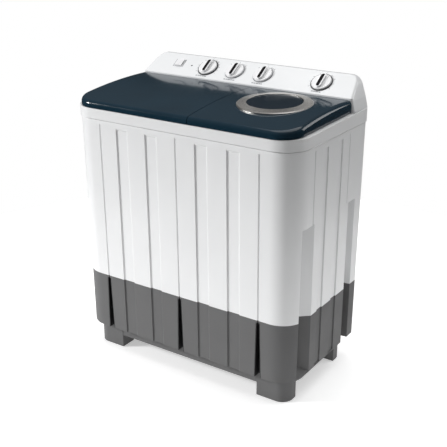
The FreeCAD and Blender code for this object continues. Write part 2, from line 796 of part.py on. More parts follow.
def build_knob(name, x):
    """A dial with a raised grip bar and a shaft through the fascia."""
    dial = revolved([(0, 0.6), ("knob_radius", 0.6), ("knob_radius", 4), ("knob_radius - 2", 6),
                     (0, 6.6)], on_fascia(x, "knob_run"), FACING, name + "_dial")
    shaft = cylinder("knob_shaft_radius", 22, on_fascia(x, "knob_run", -19), FACING)
    bar = doc.addObject("Part::Box", name + "_bar")
    bind(bar, Length="2 * grip_half_width", Width="2 * grip_half_length", Height="grip_height - 2")
    bar = put(bar, ("-grip_half_width", "-grip_half_length", 2))
    grip = eased(bar, "Fillet", lambda edge: 7 if upright(edge) else 0, name + "_grip")
    node(name + "_knob", fuse(dial, shaft, put(grip, on_fascia(x, "knob_run"), FACING)))


def build_controls():
    """Clockwork timers and rotary switches behind the fascia, each round its knob's shaft."""
    wall = "panel_wall"
    for label, names, radius, depth in (("clockwork_timers", ("wash_timer", "spin_timer"), 24, 18),
                                        ("selector_switches", ("wash_selector", "drain_selector"), 18, 16)):
        blocks = []
        for name in names:
            x = KNOBS[name][0]
            case = cylinder(radius, depth, on_fascia(x, "knob_run", "-%s - %d" % (wall, depth)), FACING)
            bore = cylinder("knob_shaft_radius + 0.05", 40, on_fascia(x, "knob_run", -19.5), FACING)
            blocks.append(cut(case, bore))
        node(label, fuse(*blocks))
    tab = put(doc.addObject("Part::Box", "tab_button"),
              on_fascia("inlet_tab_x - 13", "inlet_tab_run - 13", 0.5), FACING)
    bind(tab, Length=26, Width=26, Height=4)
    stem = put(doc.addObject("Part::Box", "tab_stem"),
               on_fascia("inlet_tab_x - 8", "inlet_tab_run - 3", -8), FACING)
    bind(stem, Length=16, Width=6, Height=9)
    node("inlet_selector_tab", fuse(tab, stem))


# ---------------------------------------------------------------- wash side

def build_wash_tub():
    def outer_corner(x, y):
        return dim("tub_corner") + dim("tub_wall")

    outer = rounded_box(("-wash_left - tub_wall", "wash_right + tub_wall"),
                        ("-tub_front - tub_wall", "tub_rear + tub_wall"),
                        ("wash_tub_bottom", "deck_bottom"), outer_corner, "tub_form")
    flange = rounded_box(("-wash_left - 10", "wash_right + 10"), ("-tub_front - 10", "tub_rear + 10"),
                         ("deck_bottom - 4", "deck_bottom"), outer_corner, "tub_flange")
    inner = rounded_box(("-wash_left", "wash_right"), ("-tub_front", "tub_rear"),
                        ("wash_tub_bottom + tub_wall", "deck_bottom + 1"), lambda x, y: dim("tub_corner"), "tub_hollow")
    shaft_hole = cylinder("pulsator_shaft_radius + 2", 20, ("wash_x", "well_y", "wash_tub_bottom - 5"))
    drain_hole = cylinder(9, 20, ("valve_x - 52", "valve_y", "wash_tub_bottom - 5"))
    node("wash_tub", cut(fuse(outer, flange), inner, shaft_hole, drain_hole))

    frame = box(("wash_x - 55", "wash_x + 55"), ("tub_rear - 14", "tub_rear"), ("575", "705"))
    window = box(("wash_x - 47", "wash_x + 47"), ("tub_rear - 15", "tub_rear - 3"), ("583", "697"))
    ribs = [box(("wash_x - 48", "wash_x + 48"), ("tub_rear - 8", "tub_rear - 5"),
                ("%d" % low, "%d" % (low + 3))) for low in range(600, 690, 22)]
    node("lint_filter", fuse(cut(frame, window), *ribs))

    plate = box(("wash_right - 9", "wash_right"), ("valve_y - 78", "valve_y + 2"), ("430", "770"))
    slots = [box(("wash_right - 10", "wash_right - 2"), ("valve_y - 70", "valve_y - 6"),
                 ("%d" % low, "%d" % (low + 5))) for low in range(450, 755, 20)]
    node("overflow_cover", cut(plate, *slots))


def build_pulsator():
    base = ("wash_x", "well_y", "pulsator_bottom")
    shaft = "pulsator_shaft_radius"
    disc = revolved([(shaft, 0), ("pulsator_radius", 0), ("pulsator_radius", 6), ("pulsator_radius - 10", 10),
                     (40, 15), (30, 30), (0, 32), (0, 18), (shaft, 18)], base, name="pulsator_disc")
    fins = [wedge((4, 24, "pulsator_radius - 6", -10, 10), (27, 24, "pulsator_radius - 34", -4, 4),
                  base, about((0, 0, 1), 60 * count) * about((1, 0, 0), 90), "pulsator_fin")
            for count in range(6)]
    node("pulsator", fuse(disc, *fins))
    node("pulsator_cap", revolved([(0, 0), (15, 0), (15, 2), (11, 5), (0, 6)],
                                  ("wash_x", "well_y", "pulsator_bottom + 32"), name="cap_profile"))
    node("pulsator_shaft", cylinder(shaft, "pulsator_bottom + 18 - pulley_bottom + 6",
                                    ("wash_x", "well_y", "pulley_bottom - 6"), name="shaft_rod"))
    top = "wash_tub_bottom - pulley_bottom"
    bore = "pulsator_shaft_radius + 0.05"
    node("pulsator_bearing_housing",
         revolved([(bore, 22), (24, 22), (24, "%s - 16" % top), (56, "%s - 5" % top), (56, top), (bore, top)],
                  ("wash_x", "well_y", "pulley_bottom"), name="housing_profile"))


def sheave(radius, hub, bore, name, at):
    """A V-belt pulley with a web and, where bore is not zero, a bored hub."""
    deep = "%s - 9" % radius
    points = [(bore, -3), (hub, -3), (hub, 3), ("%s - 14" % radius, 3), ("%s - 14" % radius, 0),
              (radius, 0), (radius, 3), (deep, 8), (radius, 13), (radius, "pulley_height"),
              ("%s - 14" % radius, "pulley_height"), ("%s - 14" % radius, 10), (hub, 10), (hub, 19), (bore, 19)]
    return revolved(points, at, name=name)


def build_belt_drive():
    node("pulsator_pulley", sheave("big_pulley_radius", 18, "pulsator_shaft_radius", "big_sheave",
                                   ("wash_x", "well_y", "pulley_bottom")))
    small = revolved([(0, 0), ("small_pulley_radius", 0), ("small_pulley_radius", 3),
                      ("small_pulley_radius - 9", 8), ("small_pulley_radius", 13),
                      ("small_pulley_radius", "pulley_height"), (0, "pulley_height")],
                     ("wash_motor_x", "wash_motor_y", "pulley_bottom"), name="small_sheave")
    stub = cylinder(5, 26, ("wash_motor_x", "wash_motor_y", "pulley_bottom - 26"))
    node("motor_pulley", fuse(small, stub))

    node("drive_belt", cut(belt_block(1.2, 5.8, 4.4), belt_block(-3.8, 4, 8)))

    height = "pulley_bottom - 10 - wash_motor_bottom"
    radius = "wash_motor_radius"
    motor = revolved([(0, 0), ("%s - 18" % radius, 0), ("%s - 6" % radius, 8), ("%s - 6" % radius, 20),
                      (radius, 20), (radius, "%s - 20" % height), ("%s - 6" % radius, "%s - 20" % height),
                      ("%s - 6" % radius, "%s - 8" % height), ("%s - 18" % radius, height), (5.05, height),
                      (5.05, "%s - 20" % height), (0, "%s - 20" % height)],
                     ("wash_motor_x", "wash_motor_y", "wash_motor_bottom"), name="motor_profile")
    node("wash_motor", motor)
    plate = box(("wash_motor_x - 50", "wash_motor_x + 58"), ("wash_motor_y - 62", "wash_motor_y + 50"),
                ("wash_motor_bottom - 6", "wash_motor_bottom"))
    legs = [cylinder(8, "wash_motor_bottom - 6 - base_bottom - 6",
                     ("wash_motor_x %+d" % dx, "wash_motor_y %+d" % dy, "base_bottom + 6"))
            for dx, dy in ((-40, -52), (48, -52), (-40, 38), (48, 38))]
    node("wash_motor_bracket", fuse(plate, *legs))


def belt_block(grow, low, height):
    """The solid inside a belt drawn tight over both pulleys."""
    places = ((dim("wash_x"), dim("well_y"), dim("big_pulley_radius") + grow),
              (dim("wash_motor_x"), dim("wash_motor_y"), dim("small_pulley_radius") + grow))
    (first_x, first_y, big), (second_x, second_y, small) = places
    towards = math.atan2(second_y - first_y, second_x - first_x)
    lean = math.acos((big - small) / math.hypot(second_x - first_x, second_y - first_y))
    touches = [(x + radius * math.cos(towards + side * lean), y + radius * math.sin(towards + side * lean))
               for side, order in ((1, 1), (-1, -1)) for x, y, radius in places[::order]]
    base = "pulley_bottom + %s" % low
    discs = [cylinder(radius, height, (x, y, base)) for x, y, radius in places]
    return fuse(padded(touches, height, at=(0, 0, base)), *discs)


# ---------------------------------------------------------------- spin side

def build_spin_tub():
    height = "deck_bottom - spin_tub_bottom"
    radius = "spin_tub_radius"
    node("spin_tub", revolved([(40, 0), (radius, 0), (radius, "%s - 4" % height),
                               ("%s + 8" % radius, "%s - 4" % height), ("%s + 8" % radius, height),
                               ("%s - 3" % radius, height), ("%s - 3" % radius, 3), (40, 3)],
                              ("spin_x", "well_y", "spin_tub_bottom"), name="spin_tub_profile"))
    node("spin_bellows", revolved([(16, -22), (24, -22), (24, -18), (44, -4), (46, 0), (40, 0),
                                   (38, -3), (20, -16), (16, -16)],
                                  ("spin_x", "well_y", "spin_tub_bottom"), name="bellows_profile"))
    node("spin_bearing", revolved([("spin_shaft_radius + 0.05", -32), (16, -32), (16, -12),
                                   ("spin_shaft_radius + 0.05", -12)],
                                  ("spin_x", "well_y", "spin_tub_bottom"), name="bearing_profile"))


def build_basket():
    base = ("spin_x", "well_y", "basket_bottom")
    height = "basket_top - basket_bottom"
    radius = "basket_radius"
    shaft = "spin_shaft_radius"
    wall = revolved([(shaft, 0), (30, 0), (34, 6), ("%s - 8" % radius, 12), (radius, 20), (radius, height),
                     ("%s - 2" % radius, height), ("%s - 2" % radius, 21), ("%s - 9" % radius, 14),
                     (34, 9), (28, 26), (shaft, 26)], base, name="basket_profile")
    holes = []
    for level in range(6):
        for count in range(12):
            angle = 15 * count + (7.5 if level % 2 else 0)
            turn = about((0, 0, 1), angle) * about((0, 1, 0), 90)
            reach = turn.multVec(Vector(0, 0, -130))
            holes.append(cylinder(3, 260, ("spin_x + %s" % reach.x, "well_y + %s" % reach.y,
                                           "basket_bottom + %d" % (45 + 46 * level)), turn, "basket_hole"))
    node("spin_basket", cut(wall, *holes))
    node("basket_balance_ring",
         revolved([("%s - 14" % radius, 0), ("%s + 3" % radius, 0), ("%s + 3" % radius, 16),
                   ("%s - 1" % radius, 22), ("%s - 10" % radius, 22), ("%s - 14" % radius, 16)],
                  ("spin_x", "well_y", "basket_top"), name="balance_profile"))
    node("spin_inner_cover", revolved([(0, 0), (108, 0), (108, 6), (104, 8), (24, 5), (0, 5)],
                                      ("spin_x", "well_y", "basket_bottom + 26"), name="cover_profile"))
    node("spin_shaft", cylinder(shaft, "basket_bottom + 26 - spin_motor_bottom - 92",
                                ("spin_x", "well_y", "spin_motor_bottom + 92"), name="spin_rod"))


def build_spin_drive():
    shaft = "spin_shaft_radius"
    node("brake_wheel", revolved([(shaft, 0), ("brake_wheel_radius", 0),
                                  ("brake_wheel_radius", "brake_wheel_height"), (22, "brake_wheel_height"),
                                  (18, "brake_wheel_height + 8"), (shaft, "brake_wheel_height + 8")],
                                 ("spin_x", "well_y", "brake_wheel_bottom"), name="brake_profile"))
    radius = "spin_motor_radius"
    bore = "spin_shaft_radius + 0.05"
    node("spin_motor", revolved([(0, 0), ("%s - 16" % radius, 0), ("%s - 6" % radius, 8),
                                 ("%s - 6" % radius, 24), (radius, 24), (radius, 90), ("%s - 6" % radius, 90),
                                 ("%s - 6" % radius, 104), ("%s - 20" % radius, 112), (bore, 112),
                                 (bore, 90), (0, 90)],
                                ("spin_x", "well_y", "spin_motor_bottom"), name="spin_motor_profile"))
    plate = box(("spin_x - 78", "spin_x + 86"), ("well_y - 78", "well_y + 78"),
                ("spin_motor_bottom - 6", "spin_motor_bottom"))
    post = cylinder(4, "brake_wheel_bottom + 22 - spin_motor_bottom",
                    ("brake_pivot_x", "brake_pivot_y", "spin_motor_bottom"))
    node("spin_motor_plate", fuse(plate, post))
    mounts = [revolved([(0, 0), (15, 0), (15, 12), (10, 17), (15, 22), (15, "spin_motor_bottom - base_bottom - 12"),
                        (0, "spin_motor_bottom - base_bottom - 12")],
                       ("spin_x %+d" % dx, "well_y %+d" % dy, "base_bottom + 6"), name="mount_profile")
              for dx, dy in ((-56, -56), (64, -56), (0, 56))]
    node("spin_motor_mounts", fuse(*mounts))

    low = "brake_wheel_bottom + 4"
    boss = cylinder(9, 16, ("brake_pivot_x", "brake_pivot_y", low))
    arm = box(("brake_pivot_x - 14", "brake_pivot_x - 1"), ("well_y - 16", "brake_pivot_y"),
              (low, "brake_wheel_bottom + 20"))
    shoe = box(("spin_x + brake_wheel_radius - 6", "brake_pivot_x - 10"), ("well_y - 18", "well_y + 14"),
               (low, "brake_wheel_bottom + 20"))
    sweep = cylinder("brake_wheel_radius + 3.5", 60, ("spin_x", "well_y", "brake_wheel_bottom - 10"))
    pivot = cylinder(4.05, 60, ("brake_pivot_x", "brake_pivot_y", "brake_wheel_bottom - 10"))
    node("brake_lever", cut(fuse(boss, arm, shoe), sweep, pivot))


# ---------------------------------------------------------------- drain, wiring and back

def build_drain():
    place = ("valve_x", "valve_y", "280")
    shell = cylinder(22, 75, place)
    channel = box(("valve_x - 66", "valve_x"), ("valve_y - 13", "valve_y + 13"),
                  ("wash_tub_bottom - 24", "wash_tub_bottom"))
    chamber = cylinder(18, 68, ("valve_x", "valve_y", "284"))
    duct = box(("valve_x - 63", "valve_x"), ("valve_y - 10", "valve_y + 10"),
               ("wash_tub_bottom - 21", "wash_tub_bottom - 3"))
    inlet = cylinder(9, 30, ("valve_x - 52", "valve_y", "wash_tub_bottom - 15"))
    rod_hole = cylinder(4.4, 20, ("valve_x", "valve_y", "345"))
    outlet = cylinder(8, 20, ("valve_x", "valve_y", "270"))
    node("drain_valve_body", cut(fuse(shell, channel), chamber, duct, inlet, rod_hole, outlet))
    plunger = cylinder(15, 10, ("valve_x", "valve_y", "290"))
    rod = cylinder(4, 160, ("valve_x", "valve_y", "299"))
    node("drain_valve_plunger", fuse(plunger, rod))
    node("drain_pipe", cut(drain_run("pipe_radius"), drain_run("pipe_radius - 4")))
    sleeve = cylinder("outlet_radius + 0.3", 21, ("-340", "outlet_y", "outlet_z"), about((0, 1, 0), -90))
    spigot = cylinder("outlet_radius", "cabinet_half_width - 1 - 340", ("-340", "outlet_y", "outlet_z"),
                      about((0, 1, 0), -90))
    wall = "cabinet_half_width - pocket_depth - casing_wall"
    flange = cylinder("outlet_radius + 7", 4, ("-(%s) + 4" % wall, "outlet_y", "outlet_z"),
                      about((0, 1, 0), -90))
    bore = cylinder("outlet_radius - 3", 80, ("-330", "outlet_y", "outlet_z"), about((0, 1, 0), -90))
    node("drain_outlet", cut(fuse(sleeve, spigot, flange), bore))


def drain_run(radius):
    """The pipe from the valve down, back and across to the outlet, with two elbows."""
    bend = 30
    down = cylinder(radius, "280 - outlet_z - %d" % bend, ("valve_x", "valve_y", "outlet_z + %d" % bend))
    first = doc.addObject("Part::Torus", "elbow")
    bind(first, Radius1=bend, Radius2=radius, Angle3=90)
    # the elbow turns the pipe from straight down to straight back
    put(first, ("valve_x", "valve_y + %d" % bend, "outlet_z + %d" % bend),
        Rotation(Vector(0, -1, 0), Vector(0, 0, -1), Vector(1, 0, 0), "XYZ"))
    back = cylinder(radius, "outlet_y - valve_y - %d" % (2 * bend), ("valve_x", "valve_y + %d" % bend, "outlet_z"),
                    about((1, 0, 0), -90))
    second = doc.addObject("Part::Torus", "elbow")
    bind(second, Radius1=bend, Radius2=radius, Angle3=90)
    put(second, ("valve_x - %d" % bend, "outlet_y - %d" % bend, "outlet_z"))
    across = cylinder(radius, "valve_x - %d + 340" % bend, ("valve_x - %d" % bend, "outlet_y", "outlet_z"),
                      about((0, 1, 0), -90))
    return fuse(down, first, back, second, across, name="pipe_run")


def build_back():
    lean = about((1, 0, 0), -LEAN)
    foot = ("-back_cover_half_width", "base_half_depth + (back_cover_bottom - base_bottom) * %s"
            % math.tan(math.radians(LEAN)), "back_cover_bottom")
    height = "back_cover_top - back_cover_bottom"

    def slab(x, y, z, size):
        """A box in the cover's own leaning frame; y counts outwards from the casing."""
        offset = lean.multVec(Vector(0, y, z))
        thing = doc.addObject("Part::Box", "cover_slab")
        bind(thing, Length=size[0], Width=size[1], Height=size[2])
        return put(thing, ("%s + %s" % (foot[0], x), "%s + %s" % (foot[1], offset.y),
                           "%s + %s" % (foot[2], offset.z)), lean)

    plate = slab(0, 0.05, 0, ("2 * back_cover_half_width", 3, height))
    swell = slab(30, 1, 30, ("2 * back_cover_half_width - 60", 8, "%s - 60" % height))
    hollow = slab(33, -1, 33, ("2 * back_cover_half_width - 66", 7, "%s - 66" % height))
    louvres = [slab(x, 2, z, (200, 10, 6)) for x in (70, 330) for z in range(210, 370, 22)]
    node("back_cover", cut(fuse(plate, swell), hollow, *louvres))
    heads = []
    for x in (12, 204, 396, 588):
        for z in (12, 398):
            offset = lean.multVec(Vector(0, 3.05, z))
            heads.append(cylinder(4.5, 2.5, ("%s + %s" % (foot[0], x), "%s + %s" % (foot[1], offset.y),
                                             "%s + %s" % (foot[2], offset.z)),
                                  lean * about((1, 0, 0), -90), "screw_head"))
    node("back_cover_screws", fuse(*heads))


def build_wiring():
    cans = [cylinder(18, 62, (x, "112", "base_bottom + 6")) for x in ("275", "318")]
    node("run_capacitors", fuse(*cans))
    node("cable_gland", revolved([(4, -9), (13, -9), (13, -3.4), (7, -3.4), (7, 0.4), (11, 0.4), (11, 6),
                                  (8, 12), (4, 12)], ("335", "base_half_depth + 1.2", "175"),
                                 about((1, 0, 0), -90), "gland_profile"))


# ---------------------------------------------------------------- export

def check_and_write():
    doc.recompute()
    for thing in doc.Objects:
        for state in ("Invalid", "Error"):
            if state in thing.State:
                raise RuntimeError("%s (%s) is %s" % (thing.Label, thing.Name, state))
    for thing in nodes:
        if thing.Shape.isNull() or not thing.Shape.isValid() or thing.Shape.Volume <= 0:
            raise RuntimeError(thing.Label + " has no valid shape")
    os.makedirs("parts", exist_ok=True)
    for thing in nodes:
        thing.Shape.exportStep("parts/%s.step" % thing.Label)


build_casing()
build_base_floor()
build_feet()
build_top_frame()
build_lids()
build_panel()
build_wash_tub()
build_pulsator()
build_belt_drive()
build_spin_tub()
build_basket()
build_spin_drive()
build_drain()
build_back()
build_wiring()
check_and_write()
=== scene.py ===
"""The looks of a twin tub washing machine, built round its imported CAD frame."""
import json
import math

import bmesh
import bpy
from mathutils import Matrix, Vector


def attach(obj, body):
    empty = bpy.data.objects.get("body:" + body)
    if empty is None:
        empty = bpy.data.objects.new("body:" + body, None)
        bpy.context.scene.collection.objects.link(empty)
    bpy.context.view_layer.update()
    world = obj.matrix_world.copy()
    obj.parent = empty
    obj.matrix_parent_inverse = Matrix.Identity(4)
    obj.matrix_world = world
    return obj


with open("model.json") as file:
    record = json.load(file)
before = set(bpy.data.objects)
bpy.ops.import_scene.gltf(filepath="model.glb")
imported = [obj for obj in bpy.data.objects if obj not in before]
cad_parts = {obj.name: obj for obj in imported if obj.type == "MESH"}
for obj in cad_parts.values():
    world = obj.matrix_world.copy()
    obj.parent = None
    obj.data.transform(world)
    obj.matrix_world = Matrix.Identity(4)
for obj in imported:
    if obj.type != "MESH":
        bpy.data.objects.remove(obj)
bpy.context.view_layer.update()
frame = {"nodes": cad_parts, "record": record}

scene = bpy.context.scene
NODES = frame["nodes"]
MM = 0.001

# ---------------------------------------------------------------- places on the part, in mm unless said

# the sloping fascia of the control panel, from its lower front edge
FASCIA_ANGLE = math.radians(34)
FASCIA_Y = 126.5
FASCIA_Z = 862.5
KNOB_RUN = 48
KNOB_X = {"wash_timer": -148, "wash_selector": -46, "drain_selector": 57, "spin_timer": 259.5}
GRIP_TOP = 12
TAB_X = -263
TAB_RUN = 53
TAB_TOP = 4.5

# the casing, whose front leans outwards from its foot to the collar
BASE_BOTTOM = 81
SPLIT_HEIGHT = 269
COLLAR_BOTTOM = 780
FOOT_HALF_DEPTH = 206
HEAD_HALF_DEPTH = 215
RECESS_MIDDLES = (-195.5, -88, 88, 195.5)
RECESS_TOP = 762.6
RECESS_HALF_WIDTH = 21.5
RECESS_DEPTH = 3.5

# the middle of the spin lid's ring (x, y), in metres
RING_MIDDLE = (0.208, -0.017)


# ---------------------------------------------------------------- materials

class Shader:
    """One procedural material: a Principled shader and the nodes that feed it."""

    def __init__(self, name, colour, roughness, **sockets):
        self.material = bpy.data.materials.new(name)
        self.material.use_nodes = True
        self.tree = self.material.node_tree
        self.tree.nodes.clear()
        self.output = self.add("ShaderNodeOutputMaterial")
        self.bsdf = self.add("ShaderNodeBsdfPrincipled")
        self.tree.links.new(self.bsdf.outputs["BSDF"], self.output.inputs["Surface"])
        self.bsdf.inputs["Base Color"].default_value = (*colour, 1)
        self.bsdf.inputs["Roughness"].default_value = roughness
        for socket, value in sockets.items():
            self.bsdf.inputs[socket.replace("_", " ")].default_value = value
        self.colour = colour
        self.roughness = roughness
        self.place = self.add("ShaderNodeTexCoord").outputs["Object"]
        self.normal = None

    def add(self, kind, **values):
        node = self.tree.nodes.new(kind)
        for key, value in values.items():
            setattr(node, key, value)
        return node

    def link(self, source, target):
        self.tree.links.new(source, target)

    def stretched(self, scale):
        """Object coordinates multiplied by scale along each axis."""
        mapping = self.add("ShaderNodeMapping")
        mapping.inputs["Scale"].default_value = scale
        self.link(self.place, mapping.inputs["Vector"])
        return mapping.outputs["Vector"]

    def noise(self, scale, detail=3.0, rough=0.55, stretch=None):
        texture = self.add("ShaderNodeTexNoise")
        texture.inputs["Scale"].default_value = scale
        texture.inputs["Detail"].default_value = detail
        texture.inputs["Roughness"].default_value = rough
        self.link(self.stretched(stretch) if stretch else self.place, texture.inputs["Vector"])
        return texture.outputs["Fac"]

    def spread(self, source, low, high, start=0.0, end=1.0):
        """source mapped from start..end to low..high."""
        mapped = self.add("ShaderNodeMapRange")
        for name, value in (("From Min", start), ("From Max", end), ("To Min", low), ("To Max", high)):
            mapped.inputs[name].default_value = value
        self.link(source, mapped.inputs["Value"])
        return mapped.outputs["Result"]

    def mix(self, factor, first, second):
        """A blend of two colours, each a tuple or a socket."""
        mixer = self.add("ShaderNodeMix", data_type="RGBA")
        self.link(factor, mixer.inputs[0])
        for slot, value in ((6, first), (7, second)):
            if isinstance(value, tuple):
                mixer.inputs[slot].default_value = (*value, 1)
            else:
                self.link(value, mixer.inputs[slot])
        return mixer.outputs[2]

    def bump(self, height, strength, distance):
        node = self.add("ShaderNodeBump")
        node.inputs["Strength"].default_value = strength
        node.inputs["Distance"].default_value = distance
        self.link(height, node.inputs["Height"])
        if self.normal is not None:
            self.link(self.normal, node.inputs["Normal"])
        self.normal = node.outputs["Normal"]
        self.link(self.normal, self.bsdf.inputs["Normal"])

    def soften(self, radius):
        """Light that rolls over the moulded edges, wider than the mesh's own rounding."""
        node = self.add("ShaderNodeBevel", samples=8)
        node.inputs["Radius"].default_value = radius
        self.normal = node.outputs["Normal"]

    def tint(self, amount, scale):
        """Slow drift of the colour, a little darker and lighter than its mean."""
        dark = tuple(c * (1 - amount) for c in self.colour)
        light = tuple(min(1.0, c * (1 + amount)) for c in self.colour)
        factor = self.spread(self.noise(scale), 0, 1, 0.3, 0.7)
        self.paint(self.mix(factor, dark, light))

    def paint(self, socket):
        self.link(socket, self.bsdf.inputs["Base Color"])

    def smudge(self, amount, scale):
        """Roughness that drifts as handled and wiped surfaces do."""
        low, high = self.roughness * (1 - amount), self.roughness * (1 + amount)
        self.link(self.spread(self.noise(scale, 5), low, high, 0.3, 0.7), self.bsdf.inputs["Roughness"])


def moulded(name, colour, roughness, grain, coat=0.0, shine=0.5, soft=0.0):
    """Injection-moulded plastic: fine spark-eroded grain, faint sink marks, slight colour drift."""
    shader = Shader(name, colour, roughness, Coat_Weight=coat, Coat_Roughness=0.12, IOR=1.48,
                    Specular_IOR_Level=shine)
    shader.tint(0.02, 4)
    shader.smudge(0.15, 14)
    if soft:
        shader.soften(soft)
    shader.bump(shader.noise(7, 2), 0.03, 0.002)
    shader.bump(shader.noise(1400, 2), grain, 0.0003)
    return shader.material


def brushed(name, colour, roughness, stretch):
    """Metal with fine drawn lines along one direction."""
    shader = Shader(name, colour, roughness, Metallic=1.0)
    lines = shader.noise(90, 6, 0.7, stretch)
    shader.paint(shader.mix(shader.spread(lines, 0, 1, 0.35, 0.65),
                            tuple(c * 0.86 for c in colour), tuple(min(1, c * 1.08) for c in colour)))
    shader.link(shader.spread(lines, roughness * 0.75, roughness * 1.3, 0.3, 0.7),
                shader.bsdf.inputs["Roughness"])
    shader.bump(lines, 0.25, 0.0002)
    return shader.material


def cast(name, colour, roughness, metallic=1.0):
    """Die cast or plated metal: uneven sheen and a pebbled skin."""
    shader = Shader(name, colour, roughness, Metallic=metallic)
    shader.tint(0.10, 30)
    shader.smudge(0.3, 60)
    shader.bump(shader.noise(420, 4), 0.18, 0.0004)
    return shader.material


def rubbery(name, colour):
    """Dull black rubber with a rough skin."""
    shader = Shader(name, colour, 0.62, Specular_IOR_Level=0.35)
    shader.tint(0.25, 45)
    shader.bump(shader.noise(700, 3), 0.25, 0.0004)
    return shader.material


def spun(name, colour, centre):
    """Metal brushed in circles round a vertical axis at centre (x, y), in metres."""
    shader = Shader(name, colour, 0.30, Metallic=1.0, Anisotropic=0.6)
    shift = shader.add("ShaderNodeVectorMath", operation="SUBTRACT")
    shift.inputs[1].default_value = (*centre, 0)
    shader.link(shader.place, shift.inputs[0])
    flat = shader.add("ShaderNodeVectorMath", operation="MULTIPLY")
    flat.inputs[1].default_value = (1, 1, 0)
    shader.link(shift.outputs[0], flat.inputs[0])
    length = shader.add("ShaderNodeVectorMath", operation="LENGTH")
    shader.link(flat.outputs[0], length.inputs[0])
    rings = shader.add("ShaderNodeTexNoise", noise_dimensions="1D")
    rings.inputs["Scale"].default_value = 1800
    rings.inputs["Detail"].default_value = 4
    shader.link(length.outputs["Value"], rings.inputs["W"])
    lines = rings.outputs["Fac"]
    shader.paint(shader.mix(shader.spread(lines, 0, 1, 0.35, 0.65),
                            tuple(c * 0.88 for c in colour), tuple(min(1, c * 1.06) for c in colour)))
    shader.link(shader.spread(lines, 0.24, 0.38, 0.3, 0.7), shader.bsdf.inputs["Roughness"])
    shader.bump(lines, 0.12, 0.0002)
    along = shader.add("ShaderNodeVectorMath", operation="CROSS_PRODUCT")
    along.inputs[0].default_value = (0, 0, 1)
    shader.link(flat.outputs[0], along.inputs[1])
    unit = shader.add("ShaderNodeVectorMath", operation="NORMALIZE")
    shader.link(along.outputs[0], unit.inputs[0])
    carried = shader.add("ShaderNodeVectorTransform", vector_type="VECTOR", convert_from="OBJECT",
                         convert_to="WORLD")
    shader.link(unit.outputs[0], carried.inputs[0])
    shader.link(carried.outputs[0], shader.bsdf.inputs["Tangent"])
    return shader.material


def printed_rings(name, dark, pale):
    """Satin print, dark for the two timers' rings and paler for the rings between them."""
    middle, reach = 0.005, 0.10
    shader = Shader(name, dark, 0.4)
    axes = shader.add("ShaderNodeSeparateXYZ")
    shader.link(shader.place, axes.inputs[0])
    between = shader.add("ShaderNodeMath", operation="COMPARE")
    between.inputs[1].default_value = middle
    between.inputs[2].default_value = reach
    shader.link(axes.outputs["X"], between.inputs[0])
    worn = shader.mix(shader.noise(60), tuple(c * 0.9 for c in pale), pale)
    shader.paint(shader.mix(between.outputs[0], dark, worn))
    shader.smudge(0.2, 40)
    shader.bump(shader.noise(1400, 2), 0.03, 0.0002)
    return shader.material


def lid_gloss(name, colour):
    """Deep glossy navy plastic, faintly uneven in colour and sheen."""
    shader = Shader(name, colour, 0.12, IOR=1.45, Specular_IOR_Level=0.38)
    shader.tint(0.10, 6)
    shader.smudge(0.25, 9)
    shader.bump(shader.noise(5, 2), 0.02, 0.002)
    return shader.material


WHITE = moulded("cabinet_white", (0.81, 0.815, 0.82), 0.34, grain=0.05, soft=2.6 * MM)
PANEL = moulded("panel_white", (0.86, 0.87, 0.88), 0.22, grain=0.02, coat=0.2)
BASE = moulded("base_grey", (0.138, 0.138, 0.139), 0.58, grain=0.16, shine=0.18, soft=1.6 * MM)
SLOT = moulded("slot_black", (0.008, 0.008, 0.009), 0.5, grain=0.1)
NAVY = lid_gloss("lid_navy", (0.007, 0.025, 0.041))
DISC = lid_gloss("disc_navy", (0.003, 0.012, 0.022))
TUB = moulded("tub_white", (0.70, 0.73, 0.76), 0.38, grain=0.08)
BLUE = moulded("pulsator_blue", (0.34, 0.45, 0.58), 0.33, grain=0.05)
GREY = moulded("plain_grey", (0.30, 0.31, 0.33), 0.46, grain=0.14)
KNOB = moulded("knob_white", (0.88, 0.88, 0.89), 0.20, grain=0.015, coat=0.25)
INK = moulded("pointer_black", (0.004, 0.004, 0.005), 0.6, grain=0.02, shine=0.15)
PRINT = moulded("print_grey", (0.16, 0.165, 0.18), 0.5, grain=0.05)
FAINT = moulded("print_pale", (0.30, 0.31, 0.33), 0.5, grain=0.05)
STEEL = brushed("plated_steel", (0.56, 0.57, 0.59), 0.34, (1, 1, 18))
ALLOY = cast("die_cast", (0.62, 0.63, 0.64), 0.42)
ENAMEL = cast("motor_enamel", (0.02, 0.02, 0.022), 0.45, metallic=0.0)
RUBBER = rubbery("rubber_black", (0.012, 0.012, 0.012))
RING = spun("ring_silver", (0.50, 0.485, 0.465), RING_MIDDLE)
BEZEL = printed_rings("bezel_print", (0.025, 0.026, 0.03), (0.36, 0.37, 0.39))

FINISH = {
    "cabinet": WHITE, "base": BASE, "dark_slots": SLOT, "lid_navy": NAVY, "ring_silver": RING,
    "panel_white": PANEL, "knob_white": KNOB, "bezel_dark": BEZEL, "tub_white": TUB,
    "pulsator_blue": BLUE, "steel": STEEL, "aluminium": ALLOY, "rubber": RUBBER, "motor": ENAMEL,
    "grey_plastic": GREY,
}

# how far each node's sharp edges are rounded, in mm
EASED = {"cabinet_shell": 0.7, "base_shell": 1.2, "top_frame": 1.6, "panel_housing": 2.5, "wash_lid": 3.0,
         "spin_lid": 3.0, "front_plinth_rail": 1.0, "spin_lid_ring": 0.6, "spin_lid_disc": 0.6}
EASED.update({name + "_knob": 0.8 for name in KNOB_X})
EASED.update({"foot_%s_%s" % (end, side): 1.5 for end in ("front", "rear") for side in ("left", "right")})


